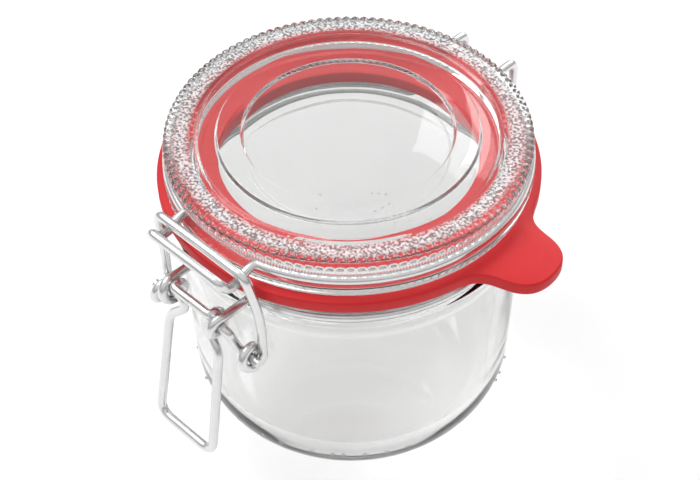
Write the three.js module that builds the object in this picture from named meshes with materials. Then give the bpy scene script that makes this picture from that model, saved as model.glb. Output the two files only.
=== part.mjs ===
// A small clip top jar: a clear pressed-glass jar and lid, a red rubber seal with a pull tab,
// and a bent steel wire clip. Millimetres, +Z up, origin at the centre of the base.
// The clip is at the front (-Y), the lid's hinge at the back (+Y), the seal's tab to the right (+X).
import * as THREE from 'three';

// Driving dimensions: glass jar
const bodyRadius = 44;
const heelRadius = 43;
const heelRound = 16;
const wallThickness = 4.4;
const floorThickness = 6;
const innerHeelRound = 12;
const jarHeight = 73.7;
const flangeRadius = 45;
const flangeHeight = 3.6;
const neckRadius = 41.6;
const mouthRadius = 33.5;
const shoulderBeadHeight = 63.5;
const shoulderBeadRound = 2;
const shoulderBeadCentre = 42.7;
const shoulderSlope = 1;
const edgeRound = 0.8;

// Driving dimensions: rubber seal
const sealOuter = 47.5;
const sealInner = 32;
const sealThickness = 3.4;
const tabReach = 61;
const tabHalfWidth = 9;
const tabRootAngle = 21;
const tabTurn = 5;
const tabFlow = 6;
const tabWaist = 1.2;
const tabEase = 4;
const tabTaper = 0.8;
const tabTipShare = 0.7;

// Driving dimensions: glass lid
const lidRadius = 45;
const lidHeight = 9.8;
const lidFlangeRadius = 45.7;
const seatInnerRadius = 38.6;
const panelThickness = 5.6;
const knurlInnerRadius = 37.4;
const stackingRingOuter = 32;
const stackingRingInner = 26;
const stackingRingHeight = 0.9;
const stackingRingSlope = 0.4;
const ceilingRound = 2;
const panelDrop = 0.2;
const rimGrooveWidth = 0.5;
const rimGrooveDepth = 0.6;
const wireGrooveClearance = 0.4;
const wireGrooveLip = 0.2;

// Driving dimensions: wire clip
const wireRadius = 1.2;
const coilRadius = 2.75;
const coilPitch = 2.6;
const lidWireRadius = 44.4;
const lidWireHeight = 81.9;
const neckWireRadius = 43.2;
const neckWireHeight = 67.9;
const leverPivot = { y: -52.3, z: 65.5 };
const bailPivot = { y: -49.6, z: 57.5 };
const hookHalfWidth = 11.9;
const hookFloor = 79.9;
const hookFloorFront = -51.4;
const hookFloorBack = -48;
const hookShoulder = { y: -46, z: 81.5 };
const hookFront = { y: -53.6, z: 83.4 };
const bailTop = { y: -48.6, z: 83.7 };
const bailTopHalfWidth = 14.9;
const bailBow = { y: -46.6, z: 69.5 };
const bailHalfWidth = 17;
const bailCoilEnd = 14.2;
const leverHalfWidth = 11.6;
const neckCoilStart = 9.1;
const frontBarReach = 0.9;
const handleBottom = { y: -59.9, z: 24.2 };
const handleHalfWidth = 9.8;
const handleShoulderHalfWidth = 8.8;
const handleTopHalfWidth = 3.9;
const handleNeck = { y: -52.5, z: 61.9 };
const handleShoulder = { y: -53.6, z: 57.1 };
const pinReach = 18.6;
const hingeBar = { y: 50.2, z: 67.9 };
const hingeHalfWidth = 12.6;
const lidLegHalfWidth = 8.4;
const tightBend = 1.3;
const wireBend = 2;
const wideBend = 2.6;
const handleBend = 4;
const bowBend = 7;
const ringEndAngle = 4;
const neckCoilAngles = [70, 430];
const hingeCoilAngles = [0, -390];
const bailCoilAngles = [0, -400];

// Fit and fineness
const gap = 0.3;
const roundSteps = 56;
const sealSteps = 24;
const wireSides = 8;
const bendSteps = 4;
const coilSteps = 12;

const sealBottom = jarHeight + gap;
const lidSeat = sealBottom + sealThickness + gap;
const lidTop = lidSeat + lidHeight;
const degrees = THREE.MathUtils.degToRad;

const glass = () => new THREE.MeshStandardMaterial({ color: 0xe9f0ee, roughness: 0.05, metalness: 0 });
const rubber = () => new THREE.MeshStandardMaterial({ color: 0xd63a3c, roughness: 0.55, metalness: 0 });
const steel = () => new THREE.MeshStandardMaterial({ color: 0xc4c6c8, roughness: 0.25, metalness: 1 });

const group = new THREE.Group();

function addPiece(name, geometry, material) {
  const mesh = new THREE.Mesh(geometry, material);
  mesh.name = name;
  group.add(mesh);
}

// Profiles are lists of (radius, height), turned about the vertical axis.
function point(radius, height) {
  return new THREE.Vector2(radius, height);
}

function arc(radius, height, round, from, to, steps) {
  return Array.from({ length: steps + 1 }, (_, i) => {
    const angle = degrees(from + ((to - from) * i) / steps);
    return point(radius + round * Math.cos(angle), height + round * Math.sin(angle));
  });
}

function turned(profile) {
  return new THREE.LatheGeometry(profile, roundSteps).rotateX(Math.PI / 2);
}

// Glass jar: flat base, big rounded heel, shoulder bead, groove for the neck wire, flange, open mouth.
function jarProfile() {
  const flangeBottom = jarHeight - flangeHeight;
  const innerRadius = bodyRadius - wallThickness;
  const innerHeelRadius = heelRadius - wallThickness;
  const bodyTop = shoulderBeadHeight - shoulderBeadRound - shoulderSlope;
  return [
    point(0, 0),
    ...arc(heelRadius - heelRound, heelRound, heelRound, -90, 0, 8),
    point(bodyRadius, bodyTop),
    ...arc(shoulderBeadCentre, shoulderBeadHeight, shoulderBeadRound, -50, 55, 5),
    point(neckRadius, shoulderBeadHeight + shoulderBeadRound + edgeRound),
    point(neckRadius, flangeBottom - edgeRound),
    ...arc(flangeRadius - edgeRound, flangeBottom + edgeRound, edgeRound, -80, 0, 2),
    ...arc(flangeRadius - edgeRound, jarHeight - edgeRound, edgeRound, 0, 90, 2),
    ...arc(mouthRadius + edgeRound, jarHeight - edgeRound, edgeRound, 90, 180, 2),
    point(mouthRadius, neckWireHeight),
    point(innerRadius, bodyTop),
    ...arc(innerHeelRadius - innerHeelRound, floorThickness + innerHeelRound, innerHeelRound, 0, -90, 6),
    point(0, floorThickness),
  ];
}

// Glass lid: hollow below, seal seat, wire groove, rim band and a low stacking ring on top.
function lidProfile() {
  const grooveFloor = lidWireRadius - wireRadius - wireGrooveClearance;
  const grooveHalf = wireRadius + wireGrooveLip;
  const panelTop = lidTop - panelDrop;
  const ceiling = panelTop - panelThickness;
  const ringTop = panelTop + stackingRingHeight;
  return [
    point(0, ceiling),
    ...arc(seatInnerRadius - ceilingRound, ceiling - ceilingRound, ceilingRound, 90, 0, 3),
    ...arc(seatInnerRadius + edgeRound, lidSeat + edgeRound, edgeRound, 180, 270, 2),
    ...arc(lidFlangeRadius - edgeRound, lidSeat + edgeRound, edgeRound, -90, 0, 2),
    point(lidFlangeRadius, lidWireHeight - grooveHalf - edgeRound),
    point(lidFlangeRadius - edgeRound, lidWireHeight - grooveHalf - wireGrooveLip),
    point(grooveFloor, lidWireHeight - grooveHalf),
    point(grooveFloor, lidWireHeight + grooveHalf),
    ...arc(lidRadius - edgeRound, lidWireHeight + grooveHalf + edgeRound, edgeRound, -80, 0, 2),
    ...arc(lidRadius - edgeRound, lidTop - edgeRound, edgeRound, 0, 90, 2),
    point(knurlInnerRadius, lidTop),
    point(knurlInnerRadius - rimGrooveWidth, lidTop - rimGrooveDepth),
    point(knurlInnerRadius - 2 * rimGrooveWidth, panelTop),
    point(stackingRingOuter + stackingRingSlope, panelTop),
    point(stackingRingOuter, ringTop),
    point(stackingRingInner, ringTop),
    point(stackingRingInner - stackingRingSlope, panelTop),
    point(0, panelTop),
  ];
}

// Rubber seal: a flat ring, with a rounded tab that flows out of it on soft curves.
function sealShape() {
  const root = degrees(tabRootAngle);
  const rootX = sealOuter * Math.cos(root);
  const rootY = sealOuter * Math.sin(root);
  const sideX = sealOuter + tabFlow;
  const tipX = sideX + tabEase;
  const tipY = tabHalfWidth * tabTipShare;
  const shape = new THREE.Shape();
  shape.absarc(0, 0, sealOuter, root, 2 * Math.PI - root, false);
  shape.bezierCurveTo(
    rootX + tabFlow * Math.sin(root), -rootY + tabFlow * Math.cos(root),
    sideX - tabFlow, -tabHalfWidth - tabWaist, sideX, -tabHalfWidth,
  );
  shape.bezierCurveTo(tipX, -tabHalfWidth + tabTaper, tabReach, -tipY, tabReach, 0);
  shape.bezierCurveTo(tabReach, tipY, tipX, tabHalfWidth - tabTaper, sideX, tabHalfWidth);
  shape.bezierCurveTo(
    sideX - tabFlow, tabHalfWidth + tabWaist,
    rootX + tabFlow * Math.sin(root), rootY - tabFlow * Math.cos(root), rootX, rootY,
  );
  const hole = new THREE.Path();
  hole.absarc(0, 0, sealInner, 0, 2 * Math.PI, true);
  shape.holes.push(hole);
  return shape;
}

function sealRing() {
  const ring = new THREE.ExtrudeGeometry(sealShape(), {
    depth: sealThickness, bevelEnabled: false, curveSegments: sealSteps,
  });
  return ring.rotateZ(degrees(tabTurn)).translate(0, 0, sealBottom);
}

// A wire's route is a list of corners (x, y, z, bend): the bend starts that far from the corner.
class WireRoute extends THREE.CatmullRomCurve3 {
  // One step for each route point, so that tight bends get short steps and straights get long ones.
  getUtoTmapping(u) {
    return u;
  }
}

function corner(x, y, z, bend = 0) {
  return { at: new THREE.Vector3(x, y, z), bend };
}

function towards(from, to, distance) {
  return from.clone().add(to.clone().sub(from).setLength(distance));
}

function routePoints(corners) {
  return corners.flatMap(({ at, bend }, i) => {
    if (bend === 0) return [at];
    const start = towards(at, corners[i - 1].at, bend);
    const end = towards(at, corners[i + 1].at, bend);
    return new THREE.QuadraticBezierCurve3(start, at, end).getPoints(bendSteps);
  });
}

function wireAlong(corners) {
  const points = routePoints(corners);
  const section = new THREE.Shape().absarc(0, 0, wireRadius, 0, 2 * Math.PI, false);
  return new THREE.ExtrudeGeometry(section, {
    steps: points.length - 1,
    curveSegments: wireSides / 2,
    bevelEnabled: false,
    extrudePath: new WireRoute(points),
  });
}

// Part of a ring round the jar, by angle from the front (-Y) towards +X.
function ringCorners(radius, height, from, to, steps = 14) {
  return Array.from({ length: steps + 1 }, (_, i) => {
    const angle = degrees(from + ((to - from) * i) / steps);
    return corner(radius * Math.sin(angle), -radius * Math.cos(angle), height);
  });
}

// Turns round a line along X, by angle from +Y towards +Z.
function coilCorners(centre, [from, to], startX, endX) {
  const steps = Math.round((Math.abs(to - from) / 360) * coilSteps);
  return Array.from({ length: steps + 1 }, (_, i) => {
    const angle = degrees(from + ((to - from) * i) / steps);
    return corner(
      startX + ((endX - startX) * i) / steps,
      centre.y + coilRadius * Math.cos(angle),
      centre.z + coilRadius * Math.sin(angle),
    );
  });
}

function mirrored(corners) {
  return corners.map(({ at, bend }) => corner(-at.x, at.y, at.z, bend)).reverse();
}

// The right half of each wire is drawn, and the left half is its mirror image.
function lidWireCorners() {
  const hookAngle = THREE.MathUtils.radToDeg(Math.asin(hookHalfWidth / lidWireRadius));
  const legAngle = THREE.MathUtils.radToDeg(Math.asin(lidLegHalfWidth / lidWireRadius));
  const hookLeave = -lidWireRadius * Math.cos(degrees(hookAngle));
  const legLeave = lidWireRadius * Math.cos(degrees(legAngle));
  const legOut = hingeBar.y + coilRadius;
  const right = [
    corner(hookHalfWidth, hookFront.y, hookFront.z, wireBend),
    corner(hookHalfWidth, hookFloorFront, hookFloor, tightBend),
    corner(hookHalfWidth, hookFloorBack, hookFloor, tightBend),
    corner(hookHalfWidth, hookShoulder.y, hookShoulder.z, tightBend),
    corner(hookHalfWidth, hookLeave, lidWireHeight, tightBend),
    ...ringCorners(lidWireRadius, lidWireHeight, hookAngle + ringEndAngle, 180 - legAngle - ringEndAngle),
    corner(lidLegHalfWidth, legLeave, lidWireHeight, wireBend),
    corner(lidLegHalfWidth, legOut, lidWireHeight, wideBend),
    ...coilCorners(hingeBar, hingeCoilAngles, lidLegHalfWidth, lidLegHalfWidth - coilPitch),
  ];
  return [...mirrored(right), ...right];
}

function neckWireCorners() {
  const frontAngle = THREE.MathUtils.radToDeg(Math.asin(neckCoilStart / neckWireRadius));
  const backAngle = THREE.MathUtils.radToDeg(Math.asin(hingeHalfWidth / neckWireRadius));
  const frontLeave = -neckWireRadius * Math.cos(degrees(frontAngle));
  const backLeave = neckWireRadius * Math.cos(degrees(backAngle));
  const coilEnd = neckCoilStart - coilPitch;
  const frontBar = { y: leverPivot.y - frontBarReach, z: leverPivot.z + coilRadius };
  const right = [
    corner(hingeHalfWidth, hingeBar.y, hingeBar.z, wideBend),
    corner(hingeHalfWidth, backLeave, neckWireHeight, wireBend),
    ...ringCorners(neckWireRadius, neckWireHeight, 180 - backAngle - ringEndAngle, frontAngle + ringEndAngle),
    corner(neckCoilStart, frontLeave, neckWireHeight, tightBend),
    ...coilCorners(leverPivot, neckCoilAngles, neckCoilStart, coilEnd),
    corner(coilEnd, frontBar.y, frontBar.z, tightBend),
    corner(gap, frontBar.y, frontBar.z),
  ];
  return [...mirrored(right), ...right];
}

// Lever: the handle narrows to a neck, whose sides turn out as axles through the neck wire's coils,
// then down as cranks, and each crank ends in a pin for the bail.
function leverCorners() {
  const right = [
    corner(handleHalfWidth, handleBottom.y, handleBottom.z, handleBend),
    corner(handleShoulderHalfWidth, handleShoulder.y, handleShoulder.z, wideBend),
    corner(handleTopHalfWidth, handleNeck.y, handleNeck.z, tightBend),
    corner(handleTopHalfWidth, leverPivot.y, leverPivot.z, wireBend),
    corner(leverHalfWidth, leverPivot.y, leverPivot.z, wireBend),
    corner(leverHalfWidth, bailPivot.y, bailPivot.z, wireBend),
    corner(pinReach, bailPivot.y, bailPivot.z),
  ];
  return [...mirrored(right), ...right];
}

// Bail: a bar over the hook, with two bowed legs that end in coils round the lever's pins.
function bailCorners() {
  const right = [
    corner(bailTopHalfWidth, bailTop.y, bailTop.z, wideBend),
    corner(bailHalfWidth, bailBow.y, bailBow.z, bowBend),
    ...coilCorners(bailPivot, bailCoilAngles, bailHalfWidth, bailCoilEnd),
  ];
  return [...mirrored(right), ...right];
}

addPiece('jar', turned(jarProfile()), glass());
addPiece('lid', turned(lidProfile()), glass());
addPiece('seal', sealRing(), rubber());
addPiece('lid_wire', wireAlong(lidWireCorners()), steel());
addPiece('neck_wire', wireAlong(neckWireCorners()), steel());
addPiece('lever', wireAlong(leverCorners()), steel());
addPiece('bail', wireAlong(bailCorners()), steel());

export default group;
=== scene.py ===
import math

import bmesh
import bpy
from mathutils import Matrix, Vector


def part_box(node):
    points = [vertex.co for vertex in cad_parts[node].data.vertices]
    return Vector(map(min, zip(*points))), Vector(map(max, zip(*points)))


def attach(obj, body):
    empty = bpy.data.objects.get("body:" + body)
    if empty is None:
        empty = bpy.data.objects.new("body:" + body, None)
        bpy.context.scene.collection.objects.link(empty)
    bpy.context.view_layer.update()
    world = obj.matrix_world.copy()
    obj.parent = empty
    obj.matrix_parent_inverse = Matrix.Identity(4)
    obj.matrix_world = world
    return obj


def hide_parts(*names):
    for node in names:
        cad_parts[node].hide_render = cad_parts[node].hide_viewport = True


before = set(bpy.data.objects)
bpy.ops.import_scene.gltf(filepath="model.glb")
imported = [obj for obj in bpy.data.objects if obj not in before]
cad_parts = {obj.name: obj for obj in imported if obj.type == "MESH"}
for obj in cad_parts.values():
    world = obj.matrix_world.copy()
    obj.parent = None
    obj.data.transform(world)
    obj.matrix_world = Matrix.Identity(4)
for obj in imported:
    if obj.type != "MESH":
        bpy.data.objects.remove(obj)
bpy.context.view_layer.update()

# %% [markdown]
# # A clip top jar
# We rebuild a small preserving jar: a clear glass jar and lid, a red rubber seal and a wire clip.
# The solid model is already in the scene, and the pieces we make take the place of its nodes.
# First we keep the size of that model, because the pieces made here must stay inside its box.

MM = 0.001
lid_low, lid_high = (Vector(corner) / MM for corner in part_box("lid"))
seal_low, seal_high = (Vector(corner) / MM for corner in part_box("seal"))
jar_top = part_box("jar")[1][2] / MM

# %% [markdown]
# ## Sums with shader sockets
# A material is a graph of small sums. Its nodes could be added and linked one by one, but a sum reads better
# as arithmetic. So one class wraps a node's socket and lets it take part in ordinary expressions. Each
# operator adds one Math node, and any other node comes from `make`.

# %% A socket that can be added and multiplied
class Field:
    """A node's output that can take part in sums."""

    def __init__(self, tree, socket):
        self.tree = tree
        self.socket = socket

    @classmethod
    def make(cls, tree, kind, settings=None, inputs=None, output=0):
        """Add a node with its settings first, then with a value or a link for each named socket."""
        node = tree.nodes.new(kind)
        for name, value in (settings or {}).items():
            setattr(node, name, value)
        for name, value in (inputs or {}).items():
            if isinstance(value, Field):
                tree.links.new(value.socket, node.inputs[name])
            else:
                node.inputs[name].default_value = value
        return cls(tree, node.outputs[output])

    def math(self, operation, *others, swap=False):
        values = [self, *others][::-1] if swap else [self, *others]
        return Field.make(self.tree, "ShaderNodeMath", {"operation": operation}, dict(enumerate(values)))

    def __add__(self, other):
        return self.math("ADD", other)

    def __sub__(self, other):
        return self.math("SUBTRACT", other)

    def __mul__(self, other):
        return self.math("MULTIPLY", other)

    def __rsub__(self, other):
        return self.math("SUBTRACT", other, swap=True)

    __radd__ = __add__
    __rmul__ = __mul__


def clamped(field):
    return field.math("MAXIMUM", 0.0).math("MINIMUM", 1.0)


print("socket class ready:", Field.__name__)

# %% [markdown]
# ## Materials
# Three materials make the whole object. Each reads the object's own coordinates, in metres, so a
# noise scale of 100 gives spots about a centimetre wide, and the pattern stays with the piece when it moves.

# %% Helpers for materials
def new_material(name, **constants):
    material = bpy.data.materials.new(name)
    material.use_nodes = True
    shader = material.node_tree.nodes["Principled BSDF"]
    for socket, value in constants.items():
        shader.inputs[socket.replace("_", " ")].default_value = value
    return material, material.node_tree, shader


def noise(tree, scale, detail=2.0, vector=None):
    coordinates = vector or Field.make(tree, "ShaderNodeTexCoord", output="Object")
    inputs = {"Vector": coordinates, "Scale": scale, "Detail": detail}
    return Field.make(tree, "ShaderNodeTexNoise", None, inputs)


# A Mix node has one pair of inputs for each kind of data: the colours are numbers 6 and 7, the result is 2.
def mixed_colour(tree, factor, first, second):
    inputs = {0: factor, 6: (*first, 1.0), 7: (*second, 1.0)}
    return Field.make(tree, "ShaderNodeMix", {"data_type": "RGBA"}, inputs, 2)


def bumped(tree, height, strength, distance):
    inputs = {"Height": height, "Strength": strength, "Distance": distance}
    return Field.make(tree, "ShaderNodeBump", None, inputs)


def plug_in(tree, shader, **fields):
    for socket, field in fields.items():
        tree.links.new(field.socket, shader.inputs[socket.replace("_", " ")])


print("material helpers ready")

# %% [markdown]
# Pressed glass is clear but never quite flat: the mould leaves slow waves in its surface, which bend what
# is seen through it. The waves could be modelled, but a weak, wide noise on the normal does the same without
# a single extra face, and a finer noise varies the roughness a little. Where the lid's rim is stippled,
# a fine speckle mixes in a frosted white that hides what lies below.

# %% Glass
glass, tree, shader = new_material("pressed_glass", IOR=1.5, Transmission_Weight=1.0)
waves = noise(tree, 45.0, 1.0)
haze = noise(tree, 220.0)
tint = mixed_colour(tree, waves, (0.80, 0.806, 0.802), (0.83, 0.836, 0.83))
plug_in(tree, shader, Base_Color=tint, Roughness=0.01 + 0.03 * haze, Normal=bumped(tree, waves, 0.15, 0.001))
stippled = Field.make(tree, "ShaderNodeAttribute", {"attribute_name": "stipple"}, output="Fac")
speckle = noise(tree, 1500.0)
frost_colour = mixed_colour(tree, clamped(6.0 * speckle - 2.5), (0.16, 0.16, 0.165), (0.86, 0.86, 0.86))
frost = Field.make(tree, "ShaderNodeBsdfPrincipled", None, {"Base Color": frost_colour, "Roughness": 0.35})
clear = Field(tree, shader.outputs[0])
frosted = Field.make(tree, "ShaderNodeMixShader", None, {0: 0.8 * stippled, 1: clear, 2: frost})
tree.links.new(frosted.socket, tree.nodes["Material Output"].inputs["Surface"])
print("glass nodes:", len(tree.nodes))

# %% [markdown]
# The seal is moulded red rubber with a satin skin. A picture of rubber could be wrapped round it, but noise
# has no seams and stays sharp from close by. A fine grain breaks up the light, and broad patches make the
# red a little deeper here and there.

# %% Red rubber
rubber, tree, shader = new_material("red_rubber", Specular_IOR_Level=0.3)
patches = noise(tree, 90.0)
grain = noise(tree, 2600.0, 3.0)
red = mixed_colour(tree, patches, (0.56, 0.010, 0.014), (0.64, 0.016, 0.020))
plug_in(tree, shader, Base_Color=red, Roughness=0.42 + 0.16 * grain, Normal=bumped(tree, grain, 0.25, 0.0002))
print("rubber nodes:", len(tree.nodes))

# %% [markdown]
# The clip is bright steel wire, pulled through a die, which leaves fine lines along its length.
# The sweep that makes a wire stores how far along and how far round each point is. A noise that is stretched
# along the wire draws the lines from these two values.

# %% Bright steel wire
steel, tree, shader = new_material("bright_steel_wire", Metallic=1.0)
along = Field.make(tree, "ShaderNodeAttribute", {"attribute_name": "along"}, output="Fac")
around = Field.make(tree, "ShaderNodeAttribute", {"attribute_name": "around"}, output="Fac")
stretched = Field.make(tree, "ShaderNodeCombineXYZ", None, {"X": along * 60.0, "Y": around * 24.0})
lines = noise(tree, 1.0, 3.0, stretched)
spots = noise(tree, 320.0)
silver = mixed_colour(tree, clamped(0.6 * lines + 0.4 * spots), (0.60, 0.60, 0.61), (0.86, 0.86, 0.85))
scored = bumped(tree, lines, 0.2, 0.0002)
plug_in(tree, shader, Base_Color=silver, Roughness=0.16 + 0.2 * lines, Normal=scored)
print("steel nodes:", len(tree.nodes))

# %% [markdown]
# ## From points to pieces
# Two helpers end every piece. The first makes a smooth mesh whose faces all point outwards. The second puts
# it in the scene at the origin, hangs it on the body it rides on and hides the node of the solid model it
# replaces.

# %% A mesh and a piece
def new_mesh(name, points, faces):
    mesh = bpy.data.meshes.new(name)
    mesh.from_pydata(points, [], faces)
    work = bmesh.new()
    work.from_mesh(mesh)
    bmesh.ops.recalc_face_normals(work, faces=work.faces)
    work.to_mesh(mesh)
    work.free()
    mesh.shade_smooth()
    return mesh


def new_piece(name, mesh, material, body, node):
    piece = bpy.data.objects.new(name, mesh)
    bpy.context.scene.collection.objects.link(piece)
    if material.name not in mesh.materials:
        mesh.materials.append(material)
    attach(piece, body)
    if node:
        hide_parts(node)
    print(name, "has", len(mesh.polygons), "faces")
    return piece


print("piece helpers ready")

# %% [markdown]
# ## Turned glass
# The jar and the lid are pressed in round moulds, so each is a profile turned about the upright axis.
# A Screw modifier could turn it, but with one number of steps for every row. The lid's rim needs many more
# steps than the rest, so we join the rows ourselves. A row has a radius, a height and its number of steps,
# and a row with more steps joins a coarser one through many-sided faces.

# %% Turning a profile into a mesh
def arc(radius, height, rounding, start, end, steps):
    angles = [math.radians(start + (end - start) * i / steps) for i in range(steps + 1)]
    return [(radius + rounding * math.cos(a), height + rounding * math.sin(a)) for a in angles]


def line(first, last, steps):
    return [tuple(a + (b - a) * i / steps for a, b in zip(first, last)) for i in range(1, steps)]


def ring_face(low, high, index, low_count, high_count):
    """One face between two rings of points, each given by its first index and its count."""
    share = max(low_count, high_count) // min(low_count, high_count)
    low_span = share if low_count > high_count else 1
    high_span = share if high_count > low_count else 1
    bottom = [low + (index * low_span + i) % low_count for i in range(low_span + 1)]
    top = [high + (index * high_span + i) % high_count for i in range(high_span + 1)]
    if low_count == 1:
        bottom = [low]
        top = [high + index, high + (index + 1) % high_count]
    if high_count == 1:
        top = [high]
        bottom = [low + index, low + (index + 1) % low_count]
    return bottom + top[::-1]


def turned_mesh(name, rows):
    points, faces, starts = [], [], []
    for radius, height, count in rows:
        starts.append(len(points))
        for i in range(count):
            angle = 2 * math.pi * i / count
            points.append((radius * math.cos(angle) * MM, radius * math.sin(angle) * MM, height * MM))
    for i in range(len(rows) - 1):
        low_count, high_count = rows[i][2], rows[i + 1][2]
        pole = min(low_count, high_count) == 1
        for j in range(max(low_count, high_count) if pole else min(low_count, high_count)):
            faces.append(ring_face(starts[i], starts[i + 1], j, low_count, high_count))
    return new_mesh(name, points, faces)


print("a quarter turn of an arc:", [tuple(round(v, 2) for v in p) for p in arc(0, 0, 1, 0, 90, 2)])

# %% [markdown]
# The jar stands on a flat base with a big rounded heel. Near the top it has a soft bead, a groove for the
# wire and a flange. A Solidify modifier could make its wall, but would copy the groove to the inside, where
# the glass is plain. So one closed profile goes up the outside and down the inside.

# %% The jar
BODY = 44.0
HEEL_RADIUS = 43.0
HEEL_ROUND = 16.0
WALL = 4.4
FLOOR = 6.0
FLAT_CENTRE = 12.0
INNER_ROUND = 12.0
NECK = 41.6
MOUTH = 33.5
MOUTH_ROUND = 4.0
MOUTH_DROP = 5.8
FLANGE = 45.0
FLANGE_HEIGHT = 3.6
SHOULDER_HEIGHT = 63.5
SHOULDER_START = 3.0
SHOULDER_ROUND = 2.0
SHOULDER_INSET = 1.3
NECK_RISE = 2.8
INNER_SHOULDER = 6.0
EDGE = 0.8
JAR_STEPS = 192

flange_bottom = jar_top - FLANGE_HEIGHT
wall_end = (BODY, SHOULDER_HEIGHT - SHOULDER_START)
jar_profile = [
    (0.0, 0.0), (FLAT_CENTRE, 0.0),
    *arc(HEEL_RADIUS - HEEL_ROUND, HEEL_ROUND, HEEL_ROUND, -90, 0, 24),
    *line((HEEL_RADIUS, HEEL_ROUND), wall_end, 10), wall_end,
    *arc(BODY - SHOULDER_INSET, SHOULDER_HEIGHT, SHOULDER_ROUND, -50, 55, 10),
    *arc(NECK + EDGE, SHOULDER_HEIGHT + NECK_RISE, EDGE, 235, 180, 3),
    *arc(NECK + EDGE, flange_bottom - EDGE, EDGE, 180, 120, 3),
    *arc(FLANGE - EDGE, flange_bottom + EDGE, EDGE, -80, 0, 5),
    *arc(FLANGE - EDGE, jar_top - EDGE, EDGE, 0, 90, 5),
    *arc(MOUTH + EDGE, jar_top - EDGE, EDGE, 90, 180, 5),
    *arc(MOUTH + MOUTH_ROUND, jar_top - MOUTH_DROP, MOUTH_ROUND, 180, 222, 6),
    *arc(BODY - WALL - INNER_SHOULDER, SHOULDER_HEIGHT - INNER_SHOULDER, INNER_SHOULDER, 42, 0, 8),
    *line((BODY - WALL, SHOULDER_HEIGHT - INNER_SHOULDER), (HEEL_RADIUS - WALL, FLOOR + INNER_ROUND), 8),
    *arc(HEEL_RADIUS - WALL - INNER_ROUND, FLOOR + INNER_ROUND, INNER_ROUND, 0, -90, 18),
    (FLAT_CENTRE, FLOOR), (0.0, FLOOR),
]
jar_rows = [(r, z, JAR_STEPS if r else 1) for r, z in jar_profile]
jar = new_piece("glass_jar", turned_mesh("glass_jar", jar_rows), glass, "closed_jar", "jar")

# %% [markdown]
# ## Geometry Nodes
# Three things repeat or follow a path: the pattern on the lid's rim, the small nubs on the jar's heel and the
# wires. Each has a node tree with named inputs. One helper makes a tree and another bakes its result into a
# plain mesh.

# %% Helpers for node trees
def new_tree(name, inputs):
    tree = bpy.data.node_groups.new(name, "GeometryNodeTree")
    tree.interface.new_socket(name="Geometry", in_out="INPUT", socket_type="NodeSocketGeometry")
    tree.interface.new_socket(name="Geometry", in_out="OUTPUT", socket_type="NodeSocketGeometry")
    for title, kind in inputs.items():
        tree.interface.new_socket(name=title, in_out="INPUT", socket_type="NodeSocket" + kind)
    group = tree.nodes.new("NodeGroupInput")
    return tree, {socket.name: Field(tree, socket) for socket in group.outputs if socket.name}


def end_tree(tree, geometry, material):
    real = Field.make(tree, "GeometryNodeRealizeInstances", None, {"Geometry": geometry})
    done = Field.make(tree, "GeometryNodeSetMaterial", None, {"Geometry": real, "Material": material})
    tree.links.new(done.socket, tree.nodes.new("NodeGroupOutput").inputs[0])


def baked(name, mesh, tree, **values):
    """The plain mesh that a tree makes out of this one, with a value for each named input."""
    carrier = bpy.data.objects.new(name, mesh)
    bpy.context.scene.collection.objects.link(carrier)
    modifier = carrier.modifiers.new("nodes", "NODES")
    modifier.node_group = tree
    for item in tree.interface.items_tree:
        if item.in_out == "INPUT" and item.name.replace(" ", "_") in values:
            modifier[item.identifier] = values[item.name.replace(" ", "_")]
    graph = bpy.context.evaluated_depsgraph_get()
    result = bpy.data.meshes.new_from_object(
        carrier.evaluated_get(graph), preserve_all_data_layers=True, depsgraph=graph)
    bpy.data.objects.remove(carrier)
    result.shade_smooth()
    return result


def named_value(tree, name):
    settings = {"data_type": "FLOAT"}
    return Field.make(tree, "GeometryNodeInputNamedAttribute", settings, {"Name": name})


def along_axis(vector, axis):
    return Field.make(vector.tree, "ShaderNodeSeparateXYZ", None, {"Vector": vector}, axis)


def turn_angle(tree):
    position = Field.make(tree, "GeometryNodeInputPosition")
    return along_axis(position, "Y").math("ARCTAN2", along_axis(position, "X"))


print("node tree helpers ready")

# %% [markdown]
# The lid is hollow below, with a groove for its wire and a broad rim that is easy to grip. The rim has three
# patterns from the mould: fine upright ribs on its side, a row of beads at its edge and a stipple on top.
# So its profile is kept in groups of rows, and each pattern gets a group of its own.

# %% The lid's profile
LID = 45.0
LID_FLANGE = 45.7
SEAT_INNER = 38.6
PANEL = 5.6
RIM_INNER = 37.4
RING_OUTER = 32.0
RING_INNER = 26.0
RING_HEIGHT = 0.9
WIRE = 1.2
LID_WIRE_RADIUS = 44.4
LID_WIRE_HEIGHT = 81.9
GROOVE_PLAY = 0.2
GROOVE_GAP = 0.4
GROOVE_ROUND = 0.5
FLANGE_DROP = 0.6
CEILING_ROUND = 2.0
LID_CENTRE = 10.0
RIM_RISE = 0.2
STEP_ROUND = 0.3
STEP_RUN = 0.6
BEAD_ROUND = 1.4
LID_STEPS = 188
RIM_STEPS = LID_STEPS * 8

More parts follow.
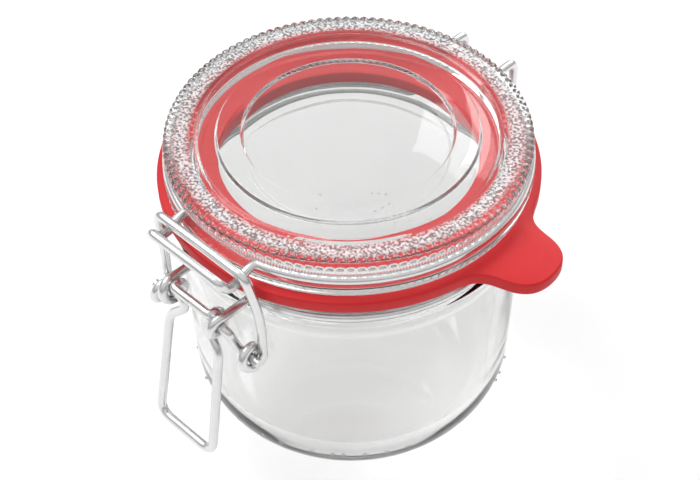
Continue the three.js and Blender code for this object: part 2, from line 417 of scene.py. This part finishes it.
lid_seat = lid_low.z
panel_top = lid_high.z - RING_HEIGHT
lid_top = panel_top + RIM_RISE
ceiling = panel_top - PANEL
groove_low = LID_WIRE_HEIGHT - WIRE - GROOVE_PLAY
groove_high = LID_WIRE_HEIGHT + WIRE + GROOVE_PLAY
groove_floor = LID_WIRE_RADIUS - WIRE - GROOVE_GAP
below_rim = [
    (0.0, ceiling), (LID_CENTRE, ceiling),
    *arc(SEAT_INNER - CEILING_ROUND, ceiling - CEILING_ROUND, CEILING_ROUND, 90, 0, 6),
    *arc(SEAT_INNER + EDGE, lid_seat + EDGE, EDGE, 180, 270, 5),
    *arc(LID_FLANGE - EDGE, lid_seat + EDGE, EDGE, -90, 0, 5),
    *arc(LID_FLANGE - GROOVE_ROUND, groove_low - FLANGE_DROP, GROOVE_ROUND, 0, 90, 4),
    *arc(groove_floor + GROOVE_ROUND, groove_low + GROOVE_ROUND, GROOVE_ROUND, 270, 180, 4),
    *arc(groove_floor + GROOVE_ROUND, groove_high - GROOVE_ROUND, GROOVE_ROUND, 180, 100, 4),
]
rim_side = [
    *arc(LID - EDGE, groove_high + EDGE, EDGE, -80, 0, 5),
    *line((LID, groove_high + EDGE), (LID, lid_top - BEAD_ROUND), 5),
]
rim_edge = arc(LID - BEAD_ROUND, lid_top - BEAD_ROUND, BEAD_ROUND, 0, 90, 10)
rim_top = line((LID - BEAD_ROUND, lid_top), (RIM_INNER + STEP_RUN, lid_top), 14)
step_low = panel_top + STEP_ROUND
step_high = lid_high.z - STEP_ROUND
above_rim = [
    *arc(RIM_INNER + STEP_ROUND, lid_top - STEP_ROUND, STEP_ROUND, 90, 180, 4),
    *arc(RIM_INNER - STEP_RUN - STEP_ROUND, step_low, STEP_ROUND, 330, 270, 4),
    *arc(RING_OUTER + STEP_RUN, step_low, STEP_ROUND, 270, 190, 4),
    *arc(RING_OUTER - STEP_ROUND, step_high, STEP_ROUND, 10, 90, 4),
    *arc(RING_INNER + STEP_ROUND, step_high, STEP_ROUND, 90, 170, 4),
    *arc(RING_INNER - STEP_RUN, step_low, STEP_ROUND, 350, 270, 4),
    (LID_CENTRE, panel_top), (0.0, panel_top),
]
rim = rim_side + rim_edge + rim_top
print("lid rows:", len(below_rim), "below the rim,", len(rim), "in it and", len(above_rim), "above")

# %% [markdown]
# A bump could draw the rim's pattern, but would leave the lid's outline a plain circle. So it is real relief:
# the tree moves each point along its normal. Ribs and beads are cosines of the angle round the lid, and the
# stipple is a noise. A weight stored on each row says where a pattern is.

# %% The tree that presses the rim's pattern
rim_tree, given = new_tree("rim_pattern", {
    "Rib Count": "Int", "Rib Depth": "Float", "Bead Count": "Int", "Bead Height": "Float",
    "Stipple Scale": "Float", "Stipple Depth": "Float",
})
angle = turn_angle(rim_tree)
ribs = (angle * given["Rib Count"]).math("COSINE") * given["Rib Depth"] * named_value(rim_tree, "ribs")
wave = (angle * given["Bead Count"]).math("COSINE").math("ABSOLUTE").math("POWER", 0.7)
beads = (wave - 0.6) * given["Bead Height"] * named_value(rim_tree, "beads")
grains = Field.make(rim_tree, "ShaderNodeTexNoise", None, {"Scale": given["Stipple Scale"]})
stipple = (grains - 0.5) * given["Stipple Depth"] * named_value(rim_tree, "stipple")
normal = Field.make(rim_tree, "GeometryNodeInputNormal")
push = Field.make(rim_tree, "ShaderNodeVectorMath", {"operation": "SCALE"},
                  {0: normal, "Scale": ribs + beads + stipple})
moved = Field.make(rim_tree, "GeometryNodeSetPosition", None, {"Geometry": given["Geometry"], "Offset": push})
end_tree(rim_tree, moved, glass)
print("rim tree nodes:", len(rim_tree.nodes))

# %% [markdown]
# The lid is turned from the three groups of rows, with eight times as many steps in the rim. A hump over the
# rows of each pattern fades it in and out, so that the rim runs smoothly into the plain glass.

# %% The lid
def row_weights(mesh, name, rows, weight_of_row):
    values = [weight_of_row(i) for i, row in enumerate(rows) for _ in range(row[2])]
    mesh.attributes.new(name, "FLOAT", "POINT").data.foreach_set("value", values)


lid_rows = [(r, z, LID_STEPS if r else 1) for r, z in below_rim]
lid_rows += [(r, z, RIM_STEPS) for r, z in rim]
lid_rows += [(r, z, LID_STEPS if r else 1) for r, z in above_rim]
side_start = len(below_rim)
edge_start = side_start + len(rim_side)
top_start = edge_start + len(rim_edge)
top_end = top_start + len(rim_top)


def hump(first, last):
    return lambda i: math.sin(math.pi * (i - first) / (last - first)) ** 0.6 if first < i < last else 0.0


lid_mesh = turned_mesh("glass_lid", lid_rows)
row_weights(lid_mesh, "ribs", lid_rows, hump(side_start, edge_start))
row_weights(lid_mesh, "beads", lid_rows, hump(edge_start - 1, top_start + 1))
row_weights(lid_mesh, "stipple", lid_rows, hump(top_start, top_end - 1))
lid_mesh = baked("lid_carrier", lid_mesh, rim_tree, Rib_Count=376, Rib_Depth=0.12 * MM, Bead_Count=60,
                 Bead_Height=0.7 * MM, Stipple_Scale=2400.0, Stipple_Depth=0.6 * MM)
lid = new_piece("glass_lid", lid_mesh, glass, "closed_jar", "lid")

# %% [markdown]
# ## Nubs on the heel
# A ring of tiny nubs runs round the heel of the jar, spaced unevenly, as a mould often leaves them. They
# could be set by hand, but a tree does it in one step: it puts small balls on a ring of points, half sunk in
# the glass, and a fixed seed decides which points get one.

# %% The nubs
NUB_ANGLE = -10.0
NUB_OUT = 0.05
nub_tree, given = new_tree("heel_nubs", {"Points": "Int", "Ring Radius": "Float", "Nub Radius": "Float",
                                         "Share": "Float", "Seed": "Int"})
ring = Field.make(nub_tree, "GeometryNodeMeshCircle", None,
                  {"Vertices": given["Points"], "Radius": given["Ring Radius"]})
ball = Field.make(nub_tree, "GeometryNodeMeshIcoSphere", None,
                  {"Radius": given["Nub Radius"], "Subdivisions": 3})
chosen = Field.make(nub_tree, "FunctionNodeRandomValue", {"data_type": "BOOLEAN"},
                    {"Probability": given["Share"], "Seed": given["Seed"]}, 3)
placed = Field.make(nub_tree, "GeometryNodeInstanceOnPoints", None,
                    {"Points": ring, "Selection": chosen, "Instance": ball})
end_tree(nub_tree, placed, glass)
slope = math.radians(NUB_ANGLE)
nub_ring = HEEL_RADIUS - HEEL_ROUND + (HEEL_ROUND + NUB_OUT) * math.cos(slope)
nub_mesh = baked("nub_carrier", bpy.data.meshes.new("empty"), nub_tree, Points=96, Ring_Radius=nub_ring * MM,
                 Nub_Radius=0.5 * MM, Share=0.42, Seed=7)
nub_mesh.transform(Matrix.Translation((0, 0, (HEEL_ROUND + HEEL_ROUND * math.sin(slope)) * MM)))
nubs = new_piece("heel_nubs", nub_mesh, glass, "closed_jar", None)

# %% [markdown]
# ## The rubber seal
# The seal is a flat ring with a tab that is pulled to let the air in. A ring and a tab could be joined by a
# Boolean, but the corner between them would be sharp. So its outline is drawn in one go: a circle that flows
# out into the tab on soft curves.

# %% The outline of the seal
SEAL_INNER = 32.0
SEAL_OUTER = 47.5
TAB_REACH = 61.0
TAB_HALF = 9.0
TAB_ROOT = math.radians(21)
TAB_TURN = math.radians(5)
TAB_FLOW = 6.0
TAB_SIDE_IN = Vector((-6.0, -1.2))
TAB_SIDE_OUT = Vector((4.0, 0.8))
TAB_FULLNESS = 0.7
TAB_STEPS = 20
SEAL_STEPS = 240
SEAL_ROUND = 0.6


def bezier(a, b, c, d, steps):
    shares = [i / steps for i in range(steps)]
    return [tuple((1 - t) ** 3 * p + 3 * (1 - t) ** 2 * t * q + 3 * (1 - t) * t * t * r + t ** 3 * s
                  for p, q, r, s in zip(a, b, c, d)) for t in shares]


def seal_outline():
    root = Vector((SEAL_OUTER * math.cos(TAB_ROOT), -SEAL_OUTER * math.sin(TAB_ROOT)))
    leave = root + TAB_FLOW * Vector((math.sin(TAB_ROOT), math.cos(TAB_ROOT)))
    side = Vector((SEAL_OUTER + TAB_FLOW, -TAB_HALF))
    tip = (TAB_REACH, 0.0)
    corner = (TAB_REACH, -TAB_FULLNESS * TAB_HALF)
    low = bezier(root, leave, side + TAB_SIDE_IN, side, TAB_STEPS)
    low += bezier(side, side + TAB_SIDE_OUT, corner, tip, TAB_STEPS)
    high = [(x, -y) for x, y in low[::-1]]
    span = 2 * math.pi - 2 * TAB_ROOT
    back = [TAB_ROOT + span * i / SEAL_STEPS for i in range(1, SEAL_STEPS)]
    return low + [tip] + high + [(SEAL_OUTER * math.cos(a), SEAL_OUTER * math.sin(a)) for a in back]


outline = seal_outline()
print("seal outline:", len(outline), "points, tab reach", max(x for x, _ in outline), "mm")

# %% [markdown]
# The seal's section is a rectangle with rounded corners. It is set up at each point of the outline, and
# neighbouring sections are joined by faces into one closed ring.

# %% The seal
def seal_section(outer_radius, low, high):
    middle = (SEAL_INNER + outer_radius) / 2
    return [
        *arc(outer_radius - SEAL_ROUND, low + SEAL_ROUND, SEAL_ROUND, -90, 0, 4),
        *arc(outer_radius - SEAL_ROUND, high - SEAL_ROUND, SEAL_ROUND, 0, 90, 4),
        (middle, high),
        *arc(SEAL_INNER + SEAL_ROUND, high - SEAL_ROUND, SEAL_ROUND, 90, 180, 4),
        *arc(SEAL_INNER + SEAL_ROUND, low + SEAL_ROUND, SEAL_ROUND, 180, 270, 4),
        (middle, low),
    ]


seal_points, seal_faces = [], []
for x, y in outline:
    direction = math.atan2(y, x) + TAB_TURN
    section = seal_section(math.hypot(x, y), seal_low.z, seal_high.z)
    seal_points += [(r * math.cos(direction) * MM, r * math.sin(direction) * MM, z * MM) for r, z in section]
loop = len(section)
for i in range(len(outline)):
    after = (i + 1) % len(outline)
    for j in range(loop):
        k = (j + 1) % loop
        seal_faces.append((i * loop + j, after * loop + j, after * loop + k, i * loop + k))
seal_mesh = new_mesh("rubber_seal", seal_points, seal_faces)
new_piece("rubber_seal", seal_mesh, rubber, "closed_jar", "seal")

# %% [markdown]
# ## The wire clip
# Four bent wires hold the jar shut: one round the lid with a hook, one round the neck with two coils, the
# lever that is pressed down, and the bail that pulls the hook. A wire is drawn as a list of corners with a
# bend at each, for its right half only, and the left half is the mirror image.

# %% Corners, bends, rings and coils
COIL = 2.75
PITCH = 2.6
TIGHT_BEND = 1.3
WIRE_BEND = 2.0
WIDE_BEND = 2.6
RING_END = 4.0


def route(corners, steps=8):
    """Points along a wire that rounds each corner, starting the given bend before it."""
    points = []
    for i, (x, y, z, bend) in enumerate(corners):
        at = Vector((x, y, z))
        if not bend:
            points.append(at)
            continue
        before = Vector(corners[i - 1][:3])
        after = Vector(corners[i + 1][:3])
        start = at + (before - at).normalized() * bend
        end = at + (after - at).normalized() * bend
        shares = [j / steps for j in range(steps + 1)]
        points += [start * (1 - t) ** 2 + at * 2 * t * (1 - t) + end * t * t for t in shares]
    return points


def ring_corners(radius, height, start, end, steps=48):
    angles = [math.radians(start + (end - start) * i / steps) for i in range(steps + 1)]
    return [(radius * math.sin(a), -radius * math.cos(a), height, 0) for a in angles]


def coil_corners(centre, start, end, start_x, end_x):
    steps = round(abs(end - start) / 10)
    shares = [i / steps for i in range(steps + 1)]
    angles = [math.radians(start + (end - start) * t) for t in shares]
    sideways = [start_x + (end_x - start_x) * t for t in shares]
    return [(x, centre[0] + COIL * math.cos(a), centre[1] + COIL * math.sin(a), 0)
            for x, a in zip(sideways, angles)]


def both_halves(right):
    return [(-x, y, z, bend) for x, y, z, bend in right[::-1]] + right


print("coil points in one turn:", len(coil_corners((0, 0), 0, 360, 0, PITCH)))

# %% [markdown]
# A curve with a bevel could be the wire. A tree does the same for all four wires, and it can also store how
# far along and how far round each point is, which the steel's fine lines need. It sweeps a round section
# along any route, and closes the cut ends.

# %% The tree that draws a wire
wire_tree, given = new_tree("drawn_wire", {"Radius": "Float", "Sides": "Int"})
path = Field.make(wire_tree, "GeometryNodeMeshToCurve", None, {"Mesh": given["Geometry"]})
section = Field.make(wire_tree, "GeometryNodeCurvePrimitiveCircle", None,
                     {"Resolution": given["Sides"], "Radius": given["Radius"]})
length = Field.make(wire_tree, "GeometryNodeSplineParameter", output="Length")
turn = Field.make(wire_tree, "GeometryNodeSplineParameter", output="Factor")
path = Field.make(wire_tree, "GeometryNodeStoreNamedAttribute", None,
                  {"Geometry": path, "Name": "along", "Value": length})
section = Field.make(wire_tree, "GeometryNodeStoreNamedAttribute", None,
                     {"Geometry": section, "Name": "around", "Value": turn})
swept = Field.make(wire_tree, "GeometryNodeCurveToMesh", None,
                   {"Curve": path, "Profile Curve": section, "Fill Caps": True})
end_tree(wire_tree, swept, steel)


def drawn_wire(name, right, body, node):
    points = [point * MM for point in route(both_halves(right))]
    mesh = bpy.data.meshes.new(name + "_route")
    mesh.from_pydata(points, [(i, i + 1) for i in range(len(points) - 1)], [])
    result = baked(name + "_carrier", mesh, wire_tree, Radius=WIRE * MM, Sides=20)
    work = bmesh.new()
    work.from_mesh(result)
    bmesh.ops.remove_doubles(work, verts=work.verts, dist=0.002 * MM)
    bmesh.ops.recalc_face_normals(work, faces=work.faces)
    work.to_mesh(result)
    work.free()
    length_mm = sum((b - a).length for a, b in zip(points, points[1:])) / MM
    print(name, "takes", round(length_mm), "mm of wire")
    return new_piece(name, result, steel, body, node)


print("wire tree nodes:", len(wire_tree.nodes))

# %% [markdown]
# The lid's wire lies in the lid's groove. At the front it bends out and down into the hook that the bail
# pulls on, and at the back two legs end in small coils round the hinge bar.

# %% The lid's wire
HINGE = (50.2, 67.9)
HOOK_HALF = 11.9
HOOK_FLOOR_FRONT = (-51.4, 79.9)
HOOK_FLOOR_BACK = (-48.0, 79.9)
HOOK_FRONT = (-53.6, 83.4)
HOOK_SHOULDER = (-46.0, 81.5)
LEG_HALF = 8.4
HINGE_COIL = (0, -390)

hook_angle = math.degrees(math.asin(HOOK_HALF / LID_WIRE_RADIUS))
leg_angle = math.degrees(math.asin(LEG_HALF / LID_WIRE_RADIUS))
hook_leave = -LID_WIRE_RADIUS * math.cos(math.radians(hook_angle))
leg_leave = LID_WIRE_RADIUS * math.cos(math.radians(leg_angle))
drawn_wire("lid_wire_loop", [
    (HOOK_HALF, *HOOK_FRONT, WIRE_BEND),
    (HOOK_HALF, *HOOK_FLOOR_FRONT, TIGHT_BEND),
    (HOOK_HALF, *HOOK_FLOOR_BACK, TIGHT_BEND),
    (HOOK_HALF, *HOOK_SHOULDER, TIGHT_BEND),
    (HOOK_HALF, hook_leave, LID_WIRE_HEIGHT, TIGHT_BEND),
    *ring_corners(LID_WIRE_RADIUS, LID_WIRE_HEIGHT, hook_angle + RING_END, 180 - leg_angle - RING_END),
    (LEG_HALF, leg_leave, LID_WIRE_HEIGHT, WIRE_BEND),
    (LEG_HALF, HINGE[0] + COIL, LID_WIRE_HEIGHT, WIDE_BEND),
    *coil_corners(HINGE, *HINGE_COIL, LEG_HALF, LEG_HALF - PITCH),
], "closed_jar", "lid_wire")

# %% [markdown]
# The neck wire grips the jar under its flange. It makes the hinge bar at the back, and at the front its two
# ends coil into bearings for the lever and meet in a short bar.

# %% The neck's wire
NECK_WIRE = 43.2
LEVER_PIVOT = (-52.3, 65.5)
LEVER_COIL = (70, 430)
COIL_START = 9.1
HINGE_HALF = 12.6
BAR_FORWARD = 0.9
FRONT_BAR = (LEVER_PIVOT[0] - BAR_FORWARD, LEVER_PIVOT[1] + COIL)
MEETING_GAP = 0.05

front_angle = math.degrees(math.asin(COIL_START / NECK_WIRE))
back_angle = math.degrees(math.asin(HINGE_HALF / NECK_WIRE))
front_leave = -NECK_WIRE * math.cos(math.radians(front_angle))
back_leave = NECK_WIRE * math.cos(math.radians(back_angle))
drawn_wire("neck_wire_loop", [
    (HINGE_HALF, *HINGE, WIDE_BEND),
    (HINGE_HALF, back_leave, HINGE[1], WIRE_BEND),
    *ring_corners(NECK_WIRE, HINGE[1], 180 - back_angle - RING_END, front_angle + RING_END),
    (COIL_START, front_leave, HINGE[1], TIGHT_BEND),
    *coil_corners(LEVER_PIVOT, *LEVER_COIL, COIL_START, COIL_START - PITCH),
    (COIL_START - PITCH, *FRONT_BAR, TIGHT_BEND),
    (MEETING_GAP, *FRONT_BAR, 0),
], "closed_jar", "neck_wire")

# %% [markdown]
# The lever is the handle that the hand presses down. Above its neck the wire turns out as an axle on each
# side, then down as a crank, and ends in a pin.

# %% The lever
BAIL_PIVOT = (-49.6, 57.5)
HANDLE_BOTTOM = (9.8, -59.9, 24.2)
HANDLE_SHOULDER = (8.8, -53.6, 57.1)
HANDLE_NECK = (3.9, -52.5, 61.9)
HANDLE_BEND = 4.0
CRANK_HALF = 11.6
PIN_REACH = 18.6

drawn_wire("clip_lever", [
    (*HANDLE_BOTTOM, HANDLE_BEND),
    (*HANDLE_SHOULDER, WIDE_BEND),
    (*HANDLE_NECK, TIGHT_BEND),
    (HANDLE_NECK[0], *LEVER_PIVOT, WIRE_BEND),
    (CRANK_HALF, *LEVER_PIVOT, WIRE_BEND),
    (CRANK_HALF, *BAIL_PIVOT, WIRE_BEND),
    (PIN_REACH, *BAIL_PIVOT, 0),
], "lever_body", "lever")

# %% [markdown]
# The bail hangs on the lever's pins by two coils. Its legs bow round the seal, and its bar lies over the
# hook, so that pressing the lever down pulls the lid onto the seal.

# %% The bail
BAIL_TOP = (14.9, -48.6, 83.7)
BAIL_BOW = (17.0, -46.6, 69.5)
BOW_BEND = 7.0
BAIL_COIL = (0, -400)
BAIL_COIL_END = 14.2

drawn_wire("clip_bail", [
    (*BAIL_TOP, WIDE_BEND),
    (*BAIL_BOW, BOW_BEND),
    *coil_corners(BAIL_PIVOT, *BAIL_COIL, BAIL_BOW[0], BAIL_COIL_END),
], "bail_body", "bail")

# %% [markdown]
# ## Studio
# The jar stands on a plain white floor in soft light from above. Clear glass shows only what it bends and
# mirrors, so the sky is darker near the horizon, which draws the glass edges.

# %% Floor
FLOOR_GAP = 0.3 * MM
floor_mesh = bpy.data.meshes.new("floor")
floor_mesh.from_pydata([(-3, -3, 0), (3, -3, 0), (3, 3, 0), (-3, 3, 0)], [], [(0, 1, 2, 3)])
floor_material, tree, shader = new_material("white_floor", Roughness=0.9, Specular_IOR_Level=0.1)
pale = mixed_colour(tree, noise(tree, 3.0), (0.93, 0.93, 0.93), (0.95, 0.95, 0.95))
plug_in(tree, shader, Base_Color=pale)
floor_mesh.materials.append(floor_material)
floor = bpy.data.objects.new("studio_floor", floor_mesh)
floor.location.z = -FLOOR_GAP
bpy.context.scene.collection.objects.link(floor)
print("floor", FLOOR_GAP / MM, "mm below the jar")

# %% [markdown]
# Two large softboxes light the jar, one from above on the left and one from behind. Small lamps would do for
# the shadows, but in glass and bright wire each lamp is seen as a reflection, so a broad one looks softer.

# %% Lights and sky
def softbox(name, place, aim, size, power):
    light = bpy.data.lights.new(name, "AREA")
    light.size = size
    light.energy = power
    lamp = bpy.data.objects.new(name, light)
    lamp.location = place
    lamp.rotation_mode = "QUATERNION"
    lamp.rotation_quaternion = (Vector(aim) - Vector(place)).to_track_quat("-Z", "Y")
    bpy.context.scene.collection.objects.link(lamp)


centre = (0.0, 0.0, 0.04)
softbox("key_light", (-0.5, -0.1, 0.9), centre, 0.6, 5.0)
softbox("back_light", (-0.2, 0.8, 0.6), centre, 0.5, 2.8)

world = bpy.data.worlds.new("studio_sky")
world.use_nodes = True
sky = world.node_tree
upward = Field.make(sky, "ShaderNodeTexCoord", output="Generated")
height = clamped(along_axis(upward, "Z") * 2.2 - 0.25)
shade = mixed_colour(sky, height, (0.42, 0.42, 0.43), (1.0, 1.0, 1.0))
sky.links.new(shade.socket, sky.nodes["Background"].inputs["Color"])
sky.nodes["Background"].inputs["Strength"].default_value = 0.8
bpy.context.scene.world = world

# %% [markdown]
# ## Camera and render settings
# The camera looks down at 46 degrees from the front right, with a long lens from about 36 centimetres. Its
# place is measured from the middle of the lid's rim. Glass needs many bounces of light before it is clear.

# %% Camera
AZIMUTH = math.radians(45)
ELEVATION = math.radians(46.1)
ROLL = math.radians(-1.06)
DISTANCE = 363.5 * MM
OFFSET = (-0.11 * MM, -26.8 * MM)

right = Vector((math.cos(AZIMUTH), math.sin(AZIMUTH), 0))
forward = Vector((-math.sin(AZIMUTH) * math.cos(ELEVATION), math.cos(AZIMUTH) * math.cos(ELEVATION),
                  -math.sin(ELEVATION)))
up = right.cross(forward)
rolled_right = right * math.cos(ROLL) + up * math.sin(ROLL)
rolled_up = up * math.cos(ROLL) - right * math.sin(ROLL)
camera_data = bpy.data.cameras.new("photo_camera")
camera_data.sensor_width = 36.0
camera_data.lens = 77.1
camera = bpy.data.objects.new("photo_camera", camera_data)
turn_matrix = Matrix((rolled_right, rolled_up, -forward)).transposed()
place = Vector((0, 0, lid_top * MM)) - forward * DISTANCE + right * OFFSET[0] + up * OFFSET[1]
camera.matrix_world = Matrix.Translation(place) @ turn_matrix.to_4x4()
bpy.context.scene.collection.objects.link(camera)
scene = bpy.context.scene
scene.camera = camera
scene.view_settings.view_transform = "Standard"
scene.cycles.use_denoising = True
scene.cycles.max_bounces = 24
scene.cycles.transmission_bounces = 24
for piece in (jar, lid, nubs):
    piece.visible_shadow = False
print("camera at", [round(v, 3) for v in place], "m")
